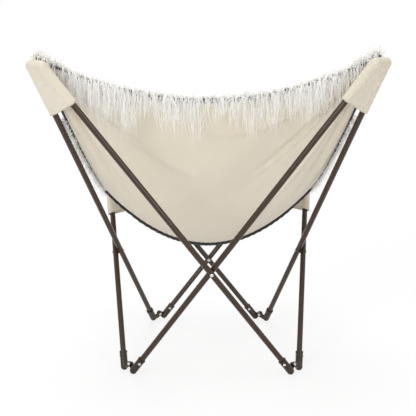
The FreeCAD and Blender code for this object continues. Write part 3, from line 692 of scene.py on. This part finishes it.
def pocket_wall(corner, lengths, tip_rise, slack, radius, reach, ripples, limit=1.0):
    """One wall of a pocket as rows of closed rings from the mouth to the tip.

    A ring is a slot: two half circles about the two sleeves, joined by lines that dip between them. Its
    half width follows the spread of the tubes, and over the tip both sizes close as a quarter circle does.
    The mouth slants from its length at the side tube to its length at the other tube, and nothing reaches
    past the limit on the side tube's side."""
    body = np.linspace(0, 1, BODY_RINGS)[:, None]
    cap = np.linspace(0, 1, TIP_RINGS)[1:, None]
    turn = np.linspace(0, 2 * math.pi, RING_POINTS + 1)[None, :-1]
    flat = np.sign(np.cos(turn)) * np.abs(np.cos(turn)) ** END_FLATNESS
    rise = reach * corner.sine
    length = lengths[0] * (1 + flat) / 2 + lengths[1] * (1 - flat) / 2
    low = -length + (length + rise) * body
    height = np.concatenate((low, rise + tip_rise * np.sin(cap * math.pi / 2) + 0 * flat))
    closing = np.concatenate((np.ones_like(low), np.cos(cap * math.pi / 2) + 0 * flat))
    half = (-height + reach / corner.sine) * corner.tangent
    half[len(body):] = reach * corner.lean - TIP_NARROWING * (1 - closing[len(body):])
    side = np.sin(turn)
    bulge = np.sign(side) * np.abs(side) ** SIDE_FLATNESS
    wide = np.minimum(half * flat + radius * closing * np.cos(turn), limit)
    dip = slack * (1 - flat ** 2) * np.clip((half - DIP_FROM) / DIP_OVER, 0, 1) * closing
    wave = np.sin(9 * turn + 260 * height) + np.sin(14 * turn - 170 * height + 1.3)
    deep = (radius * closing - dip) * bulge + wave * ripples * closing * side
    beside = np.cross(corner.down, corner.aside)
    points = corner.pin - corner.down * height[..., None] + corner.aside * wide[..., None]
    return points + beside * deep[..., None]


def double_wall(name, outer, inner, length):
    """A pocket from its outer and inner wall, joined at the mouth's hem."""
    rows, columns = outer.shape[:2]
    size = rows * columns
    first = np.arange(columns)
    following = np.roll(first, -1)
    mouth = np.stack((first, following, following + size, first + size), axis=-1)
    faces = np.concatenate((
        grid_faces(rows, columns, closed=True),
        grid_faces(rows, columns, first=size, closed=True)[:, ::-1],
        mouth,
    ))
    piece = make_object(name, np.concatenate((outer.reshape(-1, 3), inner.reshape(-1, 3))), faces)
    run = np.linspace(0, length, rows)
    girth = np.linspace(0, POCKET_GIRTH, columns)
    flat = np.stack(np.meshgrid(run, girth, indexing="ij"), axis=-1).reshape(-1, 2)
    set_map(piece, np.concatenate((flat, flat)))
    fix_faces(piece)
    return piece


def pocket_piece(name, corner, lengths, pocket, shape):
    """A pocket and the area of its outer wall."""
    inside = shape.corner_inset / corner.lean
    hemmed = [length - POCKET_HEM for length in lengths]
    reach = shape.lug_reach
    high = pocket.tip_rise
    outer = pocket_wall(corner, lengths, high, pocket.slack, inside + pocket.wall, reach, POCKET_RIPPLES)
    inner = pocket_wall(corner, hemmed, high - pocket.wall, pocket.slack, inside, reach, 0.0)
    return double_wall(name, outer, inner, lengths[0]), area_of(outer)


def lining_piece(name, corner, length, pocket, shape):
    """The half lining of a pocket, which lies inside the wall and ends at the middle plane."""
    walls = []
    for depth in (LINING_SKIN / 2, LINING_SKIN * 1.5):
        walls.append(pocket_wall(
            corner, (length - depth, length - depth), pocket.tip_rise - pocket.wall - depth, pocket.slack,
            shape.corner_inset / corner.lean - depth, shape.lug_reach, 0.0, limit=-depth,
        ))
    return double_wall(name, *walls, length), area_of(walls[0])


def add(tree, kind, feeds=None, **settings):
    """A node with its settings, whose inputs are joined to sockets or set to values."""
    node = tree.nodes.new(kind)
    for key, value in settings.items():
        setattr(node, key, value)
    for key, value in (feeds or {}).items():
        if isinstance(value, bpy.types.NodeSocket):
            tree.links.new(value, node.inputs[key])
        else:
            node.inputs[key].default_value = value
    return node


def math_node(tree, operation, *values, clamped=False):
    """Result of one arithmetic node."""
    feeds = dict(enumerate(values))
    return add(tree, "ShaderNodeMath", feeds, operation=operation, use_clamp=clamped).outputs[0]


def noise(tree, where, scale, detail):
    """Value of a noise texture."""
    feeds = {"Vector": where, "Scale": scale, "Detail": detail}
    return add(tree, "ShaderNodeTexNoise", feeds).outputs["Fac"]


def cloth_place(tree):
    """Place on the piece's own map, in metres of cloth."""
    return add(tree, "ShaderNodeUVMap", uv_map=CLOTH_MAP).outputs["UV"]


def solid_place(tree):
    """Place in the object's own space."""
    return add(tree, "ShaderNodeTexCoord").outputs["Object"]


def axes_of(tree, vector):
    """The three parts of a vector."""
    return add(tree, "ShaderNodeSeparateXYZ", {0: vector}).outputs


def bumped(tree, height, strength, distance):
    """Normal of a surface that is raised by a height."""
    feeds = {"Strength": strength, "Distance": distance, "Height": height}
    return add(tree, "ShaderNodeBump", feeds).outputs["Normal"]


def feed(tree, node, **sockets):
    """Joins sockets to a node's inputs, which are named with a low line for each space."""
    for key, socket in sockets.items():
        tree.links.new(socket, node.inputs[key.replace("_", " ")])


def new_group(name, inputs, outputs):
    """An empty shader node group with a place, named values and named results."""
    tree = bpy.data.node_groups.new(name, "ShaderNodeTree")
    tree.interface.new_socket("Vector", in_out="INPUT", socket_type="NodeSocketVector")
    for label, value in inputs.items():
        socket = tree.interface.new_socket(label, in_out="INPUT", socket_type="NodeSocketFloat")
        socket.default_value = value
    for label in outputs:
        tree.interface.new_socket(label, in_out="OUTPUT", socket_type="NodeSocketFloat")
    return tree, tree.nodes.new("NodeGroupInput").outputs, tree.nodes.new("NodeGroupOutput")


def weave_group(name):
    """Plain weave: the product of two sine waves, one along each thread, with slubs."""
    tree, entry, leave = new_group(name, {"Thread pitch": 0.0016}, ("Height", "Thread shade"))
    rate = math_node(tree, "DIVIDE", 2 * math.pi, entry["Thread pitch"])
    feeds = {0: entry["Vector"], "Scale": rate}
    parts = axes_of(tree, add(tree, "ShaderNodeVectorMath", feeds, operation="SCALE").outputs[0])
    warp = math_node(tree, "SINE", parts["X"])
    weft = math_node(tree, "SINE", parts["Y"])
    product = math_node(tree, "MULTIPLY_ADD", math_node(tree, "MULTIPLY", warp, weft), 0.5, 0.5)
    slub = noise(tree, entry["Vector"], 240.0, 2.0)
    feed(tree, leave, Height=math_node(tree, "MULTIPLY_ADD", slub, 0.5, product), Thread_shade=slub)
    return tree


def tone_group(name):
    """Uneven tone: two noises of different sizes, added and stretched to a mask."""
    tree, entry, leave = new_group(name, {"Scale": 6.0, "Contrast": 1.6}, ("Mask",))
    broad = noise(tree, entry["Vector"], entry["Scale"], 3.0)
    fine = noise(tree, entry["Vector"], math_node(tree, "MULTIPLY", entry["Scale"], 7.3), 4.0)
    both = math_node(tree, "MULTIPLY_ADD", fine, 0.35, broad)
    centred = math_node(tree, "SUBTRACT", both, 0.675)
    feed(tree, leave, Mask=math_node(tree, "MULTIPLY_ADD", centred, entry["Contrast"], 0.5, clamped=True))
    return tree


def wear_group(name):
    """Edge wear: where a rounded normal leaves the true one, broken up by a fine noise."""
    tree, entry, leave = new_group(name, {"Radius": 0.0012, "Amount": 4.0}, ("Mask",))
    rounded = add(tree, "ShaderNodeBevel", {"Radius": entry["Radius"]}, samples=4).outputs[0]
    feeds = {0: rounded, 1: add(tree, "ShaderNodeNewGeometry").outputs["Normal"]}
    match = add(tree, "ShaderNodeVectorMath", feeds, operation="DOT_PRODUCT").outputs["Value"]
    edge = math_node(tree, "SUBTRACT", 1.0, match)
    broken = math_node(tree, "MULTIPLY", edge, noise(tree, entry["Vector"], 420.0, 3.0))
    feed(tree, leave, Mask=math_node(tree, "MULTIPLY", broken, entry["Amount"], clamped=True))
    return tree


GROUPS = {"Plain weave": weave_group, "Uneven tone": tone_group, "Edge wear": wear_group}


def place_group(tree, name, feeds):
    """A shared node group, built the first time it is asked for, placed with its own values."""
    shared = bpy.data.node_groups.get(name) or GROUPS[name](name)
    return add(tree, "ShaderNodeGroup", feeds, node_tree=shared).outputs


def weave(tree, where, pitch):
    """Results of the shared plain weave."""
    return place_group(tree, "Plain weave", {"Vector": where, "Thread pitch": pitch})


def uneven(tree, where, scale, contrast):
    """Mask of the shared uneven tone."""
    feeds = {"Vector": where, "Scale": scale, "Contrast": contrast}
    return place_group(tree, "Uneven tone", feeds)["Mask"]


def new_material(name, **values):
    """A material with one Principled shader and its plain values."""
    material = bpy.data.materials.new(name)
    material.use_nodes = True
    tree = material.node_tree
    shader = tree.nodes["Principled BSDF"]
    for key, value in values.items():
        shader.inputs[key.replace("_", " ")].default_value = value
    return material, tree, shader


def shade(colour, factor=1.0):
    """A colour as four numbers."""
    return tuple(channel * factor for channel in colour) + (1.0,)


def mix_colour(tree, mask, first, second):
    """Colour between two by a mask."""
    return add(tree, "ShaderNodeMix", {0: mask, 6: first, 7: second}, data_type="RGBA").outputs[2]


def mix_shader(tree, share, first, second):
    """Two shaders mixed by a share and given to the tree's output."""
    mixed = add(tree, "ShaderNodeMixShader", {0: share, 1: first.outputs[0], 2: second.outputs[0]})
    leave = next(node for node in tree.nodes if node.type.startswith("OUTPUT"))
    feed(tree, leave, Surface=mixed.outputs[0])


def between(tree, mask, low, high):
    """Value between two by a mask."""
    feeds = {"Value": mask, "To Min": low, "To Max": high}
    return add(tree, "ShaderNodeMapRange", feeds).outputs["Result"]


def canvas_finish(colours):
    """Cream canvas: plain weave, slubs and a soft uneven tone."""
    material, tree, shader = new_material("cream_canvas", Sheen_Weight=0.25, Sheen_Roughness=0.5)
    threads = weave(tree, cloth_place(tree), 0.0017)
    tone = uneven(tree, solid_place(tree), 5.0, 1.4)
    base = mix_colour(tree, tone, shade(colours.canvas), shade(colours.canvas_shade))
    slub = math_node(tree, "MULTIPLY", threads["Thread shade"], 0.3)
    feed(
        tree, shader,
        Base_Color=mix_colour(tree, slub, base, shade(colours.canvas, 0.82)),
        Roughness=between(tree, threads["Height"], 0.92, 0.72),
        Normal=bumped(tree, threads["Height"], 0.35, 0.0006),
    )
    return material


def tape_finish(colours):
    """Dark grosgrain tape: fine cross ribs and a row of stitches."""
    material, tree, shader = new_material("dark_tape", Sheen_Weight=0.2)
    where = cloth_place(tree)
    threads = weave(tree, where, 0.0011)
    parts = axes_of(tree, where)
    dash = math_node(tree, "SINE", math_node(tree, "MULTIPLY", parts["X"], 2 * math.pi / STITCH_PITCH))
    row = math_node(tree, "ABSOLUTE", math_node(tree, "SUBTRACT", parts["Y"], STITCH_INSET))
    near = math_node(tree, "LESS_THAN", row, STITCH_HALF)
    stitch = math_node(tree, "MULTIPLY", near, math_node(tree, "GREATER_THAN", dash, -0.35))
    base = mix_colour(tree, threads["Thread shade"], shade(colours.tape), shade(colours.tape, 2.2))
    height = math_node(tree, "ADD", threads["Height"], math_node(tree, "MULTIPLY", stitch, 1.5))
    feed(
        tree, shader,
        Base_Color=mix_colour(tree, stitch, base, shade(colours.tape, 4.5)),
        Roughness=between(tree, threads["Height"], 0.85, 0.6),
        Normal=bumped(tree, height, 0.5, 0.0006),
    )
    return material


def lock_finish(colours):
    """White fur: each lock goes from a warm root to a pale tip, in a tone of its own."""
    material, tree, shader = new_material("white_fur", Sheen_Weight=0.3, Sheen_Roughness=0.4)
    parts = axes_of(tree, cloth_place(tree))
    ends = mix_colour(tree, parts["Y"], shade(colours.fur_root), shade(colours.fur_tip))
    each = math_node(tree, "MULTIPLY", parts["X"], 0.35)
    colour = mix_colour(tree, each, ends, shade(colours.fur_root))
    feed(tree, shader, Base_Color=colour, Roughness=between(tree, parts["Y"], 0.75, 0.5))
    mix_shader(tree, FUR_LIGHT_THROUGH, shader, add(tree, "ShaderNodeBsdfTranslucent", {"Color": colour}))
    return material


def pelt_finish(colours):
    """Dense underfur: short fibres combed down, with a soft uneven tone."""
    material, tree, shader = new_material("underfur", Sheen_Weight=0.4, Sheen_Roughness=0.5)
    where = cloth_place(tree)
    combed = add(tree, "ShaderNodeMapping", {"Vector": where, "Scale": (900.0, 130.0, 1.0)}).outputs[0]
    fibre = noise(tree, combed, 1.0, 4.0)
    mask = math_node(tree, "MULTIPLY", fibre, uneven(tree, where, 14.0, 1.5))
    feed(
        tree, shader,
        Base_Color=mix_colour(tree, mask, shade(colours.fur_tip, 0.97), shade(colours.fur_root)),
        Roughness=between(tree, fibre, 0.9, 0.7),
        Normal=bumped(tree, fibre, 0.7, 0.003),
    )
    return material


def lacquer_finish(name, colour, rough, worn):
    """Bronze lacquer: a clear coat with a fine orange peel, a faint uneven tone and wear on edges."""
    material, tree, shader = new_material(
        name, Metallic=0.1, Coat_Weight=0.25, Coat_Roughness=0.04, Specular_IOR_Level=0.2
    )
    solid = solid_place(tree)
    tone = uneven(tree, solid, 18.0, 1.5)
    wear = place_group(tree, "Edge wear", {"Vector": solid, "Radius": 0.001, "Amount": worn})["Mask"]
    base = mix_colour(tree, tone, shade(colour), shade(colour, 1.3))
    feed(
        tree, shader,
        Base_Color=mix_colour(tree, wear, base, shade(colour, 2.6)),
        Roughness=between(tree, tone, rough, rough + 0.12),
        Normal=bumped(tree, noise(tree, solid, 900.0, 2.0), 0.06, 0.0004),
    )
    return material


def steel_finish(colours):
    """Bright rivet steel with a little tarnish."""
    material, tree, shader = new_material("bright_steel", Metallic=1.0)
    tone = uneven(tree, solid_place(tree), 90.0, 1.8)
    feed(
        tree, shader,
        Base_Color=mix_colour(tree, tone, shade(colours.steel), shade(colours.steel, 0.72)),
        Roughness=between(tree, tone, 0.22, 0.4),
    )
    return material


def paint(piece, material):
    """One material on the whole piece."""
    piece.data.materials.clear()
    piece.data.materials.append(material)


def cloth_of(context):
    """The sling with the sizes that are set in the scene."""
    return Sling(context.scene.butterfly_sling)


class FrameFinish(bpy.types.Operator):
    """Gives the tubes, elbows, washers and rivets of the frame their finishes."""

    bl_idname = "butterfly.frame_finish"
    bl_label = "Finish the frame"

    def execute(self, context):
        colours = context.scene.butterfly_colours
        tube = lacquer_finish("tube_bronze", colours.tube, rough=0.1, worn=1.5)
        fitting = lacquer_finish("fitting_bronze", colours.fitting, rough=0.24, worn=4.0)
        steel = steel_finish(colours)
        soft = ("panel", "lining", "binding", "pocket")
        for name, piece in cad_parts.items():
            if name.endswith(soft):
                continue
            if name.endswith(("elbow", "washer")):
                finish = fitting
            elif name.endswith(("rivet", "rivets", "pin")):
                finish = steel
            else:
                finish = tube
            if not piece.material_slots:
                raise RuntimeError("%s has no material slot" % name)
            for slot in piece.material_slots:
                slot.link = "OBJECT"
                slot.material = finish
        return {"FINISHED"}


class CanvasPanels(bpy.types.Operator):
    """Makes the canvas of the back and the seat in four quarters."""

    bl_idname = "butterfly.canvas"
    bl_label = "Canvas panels"

    def execute(self, context):
        sling = cloth_of(context)
        finish = canvas_finish(context.scene.butterfly_colours)
        for quarter in CORNER_TUBES:
            counts = BACK_GRID if quarter.startswith("rear") else SEAT_GRID
            lifts = (0.0, sling.shape.canvas_thickness)
            piece = cloth_slab("canvas_" + quarter, sling, quarter, lifts, counts)
            paint(piece, finish)
            hang(piece, sling, quarter)
            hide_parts("back_panel" if quarter.startswith("rear") else "seat_panel")
        return {"FINISHED"}


class BindingTape(bpy.types.Operator):
    """Makes the dark tape round the rim and over the seam between back and seat."""

    bl_idname = "butterfly.binding"
    bl_label = "Binding tape"

    def execute(self, context):
        sling = cloth_of(context)
        shape = sling.shape
        finish = tape_finish(context.scene.butterfly_colours)
        skin = shape.tape_thickness
        folded = rim_profile(shape.tape_width, -skin - TAPE_GAP, shape.canvas_thickness + skin, skin)
        fin = fin_profile(skin, shape.seam_fin)
        for quarter in CORNER_TUBES:
            (inner, outer), (start, end) = sling.quarter(quarter)
            back = np.sign(start - end)
            aside = np.sign(inner - outer)
            strips = [
                sewn_tape(sling, (inner, outer), (end, end), END_POINTS, (0.0, back), folded),
                sewn_tape(sling, (outer, outer), (start, end), SIDE_POINTS, (aside, 0.0), folded),
            ]
            piece = join_strips("edge_tape_" + quarter, strips)
            fix_faces(piece, fill=True)
            paint(piece, finish)
            hang(piece, sling, quarter)
            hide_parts("edge_binding")
            if quarter.startswith("front"):
                continue
            sewn = sewn_tape(sling, (inner, outer), (start, start), SEAM_POINTS, (0.0, 1.0), fin)
            seam = join_strips("seam_tape_" + quarter, [sewn])
            fix_faces(seam, fill=True)
            paint(seam, finish)
            hang(seam, sling, quarter)
            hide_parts("seam_binding")
        return {"FINISHED"}


class FurLining(bpy.types.Operator):
    """Makes the underfur and the long locks on the sitter's side and over the edges."""

    bl_idname = "butterfly.fur"
    bl_label = "Fur lining"

    def execute(self, context):
        sling = cloth_of(context)
        fur = context.scene.butterfly_fur
        colours = context.scene.butterfly_colours
        pelt = pelt_finish(colours)
        locks = lock_finish(colours)
        for number, quarter in enumerate(CORNER_TUBES):
            rear = quarter.startswith("rear")
            counts = BACK_PELT_GRID if rear else SEAT_PELT_GRID
            lifts = (fur.pelt_bottom, fur.pelt_top)
            ground = cloth_slab("underfur_" + quarter, sling, quarter, lifts, counts)
            paint(ground, pelt)
            random = np.random.default_rng(FUR_SEED + number)
            field = field_fur(sling, fur, quarter, random)
            hair = join_strips("fur_locks_" + quarter, [field], smooth=False)
            ends = ("top" if rear else "front", "side")
            edges = [edge_fur(sling, fur, quarter, edge, random) for edge in ends]
            if rear:
                edges.append(plume_fur(sling, fur, quarter, random))
            fringe = join_strips("fur_fringe_" + quarter, edges, smooth=False)
            for piece in (hair, fringe):
                paint(piece, locks)
            for piece in (ground, hair, fringe):
                hang(piece, sling, quarter)
                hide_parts("fur_lining")
        return {"FINISHED"}


class CornerPockets(bpy.types.Operator):
    """Makes the four canvas pockets over the top corners."""

    bl_idname = "butterfly.pockets"
    bl_label = "Corner pockets"

    def execute(self, context):
        sling = cloth_of(context)
        shape = sling.shape
        pocket = context.scene.butterfly_pockets
        finish = bpy.data.materials["cream_canvas"]
        for quarter, corner in sling.corners.items():
            rear = quarter.startswith("rear")
            length = pocket.rear_length if rear else pocket.front_length
            lengths = (length, length - pocket.rear_slant if rear else length)
            piece, area = pocket_piece("pocket_" + quarter, corner, lengths, pocket, shape)
            paint(piece, finish)
            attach(piece, CORNER_LEGS[quarter])
            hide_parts(quarter + "_pocket")
        length = pocket.front_length - LINING_SHORTER
        lining, area = lining_piece("lining_front_left", sling.corners["front_left"], length, pocket, shape)
        paint(lining, finish)
        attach(lining, LINED_LEG)
        return {"FINISHED"}


class DeclareCloth(bpy.types.Operator):
    """Measures the flat width, length and area of each quarter's cut."""

    bl_idname = "butterfly.declare"
    bl_label = "State the cloth cuts"

    def execute(self, context):
        sling = cloth_of(context)
        for quarter in CORNER_TUBES:
            flat, area = cut_of(sling, quarter)
        return {"FINISHED"}


class Studio(bpy.types.Operator):
    """Makes the pale floor, the soft lights, the world and the camera behind the chair."""

    bl_idname = "butterfly.studio"
    bl_label = "Studio"

    def execute(self, context):
        self.make_floor(context)
        self.make_world(context)
        self.make_lamps(context)
        self.make_camera(context)
        context.scene.view_settings.view_transform = "Standard"
        return {"FINISHED"}

    def white_rays(self, tree):
        """1 for camera, mirror and glass rays."""
        path = add(tree, "ShaderNodeLightPath").outputs
        seen = math_node(tree, "MAXIMUM", path["Is Camera Ray"], path["Is Glossy Ray"])
        return math_node(tree, "MAXIMUM", seen, path["Is Transmission Ray"])

    def make_floor(self, context):
        """A round floor that passes into the white surroundings away from the chair."""
        ring = np.linspace(0, 2 * math.pi, FLOOR_POINTS + 1)[:-1]
        radius = np.array(FLOOR_RADII)
        points = np.stack(np.broadcast_arrays(
            radius[:, None] * np.cos(ring), radius[:, None] * np.sin(ring), 0.0
        ), axis=-1)
        floor = make_object("floor", points, grid_faces(len(radius), len(ring), closed=True))
        fix_faces(floor)
        material, tree, shader = new_material("pale_floor", Roughness=0.9)
        solid = solid_place(tree)
        tone = uneven(tree, solid, 3.0, 0.4)
        colour = context.scene.butterfly_colours.floor
        feed(tree, shader, Base_Color=mix_colour(tree, tone, shade(colour), shade(colour, 0.985)))
        glow = add(tree, "ShaderNodeEmission", {"Strength": 1.0})
        away = add(tree, "ShaderNodeVectorMath", {0: solid}, operation="LENGTH").outputs["Value"]
        fade = add(
            tree, "ShaderNodeMapRange",
            {"Value": away, "From Min": 0.7, "From Max": 2.2, "To Min": 0.8, "To Max": 1.0},
            interpolation_type="SMOOTHSTEP",
        )
        share = math_node(tree, "MULTIPLY", self.white_rays(tree), fade.outputs["Result"])
        mix_shader(tree, share, shader, glow)
        paint(floor, material)

    def make_world(self, context):
        """White surroundings to look at, and a softer light from all sides."""
        world = bpy.data.worlds.new("studio")
        world.use_nodes = True
        tree = world.node_tree
        light = tree.nodes["Background"]
        light.inputs["Color"].default_value = WHITE
        light.inputs["Strength"].default_value = WORLD_LIGHT
        seen = add(tree, "ShaderNodeBackground", {"Color": WHITE, "Strength": 1.0})
        mix_shader(tree, self.white_rays(tree), light, seen)
        context.scene.world = world

    def make_lamps(self, context):
        """Soft lamps that all face the middle of the chair."""
        for name, place, size, power in LAMPS:
            data = bpy.data.lights.new(name, "AREA")
            data.shape = "RECTANGLE"
            data.size, data.size_y = size
            data.energy = power
            lamp = bpy.data.objects.new(name, data)
            back = unit(np.array(place) - np.array(LAMP_TARGET))
            right = unit(np.cross((0.0, 0.0, 1.0), back))
            lamp.matrix_world = axes_matrix(right, np.cross(back, right), back, place)
            context.collection.objects.link(lamp)

    def make_camera(self, context):
        """The view from behind: the camera looks forward and down, turned and rolled by small angles."""
        pitch, yaw, roll = CAMERA_TURN
        flat = math.cos(pitch)
        ahead = np.array((-math.sin(yaw) * flat, -math.cos(yaw) * flat, -math.sin(pitch)))
        level = unit(np.cross(ahead, (0.0, 0.0, 1.0)))
        upright = np.cross(level, ahead)
        right = level * math.cos(roll) + upright * math.sin(roll)
        up = upright * math.cos(roll) - level * math.sin(roll)
        data = bpy.data.cameras.new("photo_camera")
        data.sensor_width = CAMERA_SENSOR
        data.lens = CAMERA_LENS
        data.clip_end = CAMERA_FAR
        camera = bpy.data.objects.new("photo_camera", data)
        camera.matrix_world = axes_matrix(right, up, -ahead, CAMERA_PLACE)
        context.collection.objects.link(camera)
        context.scene.camera = camera


def axes_matrix(right, up, back, place):
    """A placement from three axes and a point."""
    turned = np.eye(4)
    turned[:3, :4] = np.stack((right, up, back, np.asarray(place, float)), axis=1)
    return Matrix(turned.tolist())


STEPS = (FrameFinish, CanvasPanels, BindingTape, FurLining, CornerPockets, DeclareCloth, Studio)


class ChairPanel(bpy.types.Panel):
    """Lists the steps and the sizes of the chair."""

    bl_idname = "VIEW3D_PT_butterfly"
    bl_label = "Butterfly chair"
    bl_space_type = "VIEW_3D"
    bl_region_type = "UI"
    bl_category = "Butterfly"

    def draw(self, context):
        """A button for each step, and a box for each group of sizes."""
        for step in STEPS:
            self.layout.operator(step.bl_idname)
        for group_name in SETTINGS:
            settings = getattr(context.scene, group_name)
            box = self.layout.box()
            for name in settings.__annotations__:
                box.prop(settings, name)


SETTINGS = {
    "butterfly_sling": SlingShape,
    "butterfly_fur": FurSizes,
    "butterfly_pockets": PocketSizes,
    "butterfly_colours": FinishColours,
}


def register():
    """Adds the classes, and the settings to the scene."""
    for kind in (*SETTINGS.values(), *STEPS, ChairPanel):
        bpy.utils.register_class(kind)
    for name, kind in SETTINGS.items():
        setattr(bpy.types.Scene, name, bpy.props.PointerProperty(type=kind))


def unregister():
    """Takes the settings and the classes away again."""
    for name in SETTINGS:
        delattr(bpy.types.Scene, name)
    for kind in (ChairPanel, *reversed(STEPS), *reversed(SETTINGS.values())):
        bpy.utils.unregister_class(kind)


def main():
    """Runs every step in turn."""
    register()
    bpy.ops.butterfly.frame_finish()
    bpy.ops.butterfly.canvas()
    bpy.ops.butterfly.binding()
    bpy.ops.butterfly.fur()
    bpy.ops.butterfly.pockets()
    bpy.ops.butterfly.declare()
    bpy.ops.butterfly.studio()


if __name__ == "__main__":
    main()
